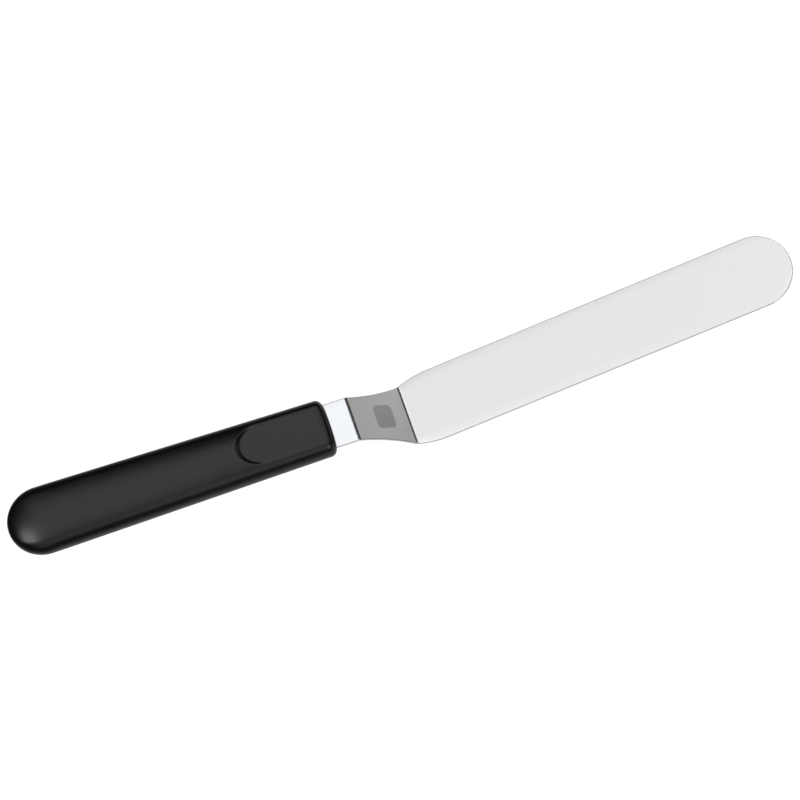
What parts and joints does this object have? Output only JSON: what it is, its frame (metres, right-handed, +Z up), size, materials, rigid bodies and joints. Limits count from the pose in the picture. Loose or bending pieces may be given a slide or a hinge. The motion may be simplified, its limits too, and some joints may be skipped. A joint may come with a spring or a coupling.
{
  "type": "offset spatula",
  "caption": "Offset spatula with a long round-ended flexible steel blade, a flared cranked riser and a black two-shell handle with a thumb flat.",
  "frame": {"origin": "under the middle of the part's bounding box, in the plane of the blade's flat underside", "axes": "+X along the blade towards its round tip, +Z up out of the blade's upper face, Y across the blade"},
  "size_m": [0.33, 0.0308, 0.0565],
  "materials": {
    "blade_steel": "satin, fine grain along the blade",
    "handle_black": "black, satin with a very fine grain",
    "pin_steel": "plain turned"
  },
  "bodies": {
    "root": {"blade": "blade_steel", "handle_lower_shell": "handle_black", "handle_upper_shell": "handle_black", "tang_pin_front": "pin_steel", "tang_pin_middle": "pin_steel", "tang_pin_rear": "pin_steel"}
  },
  "joints": []
}
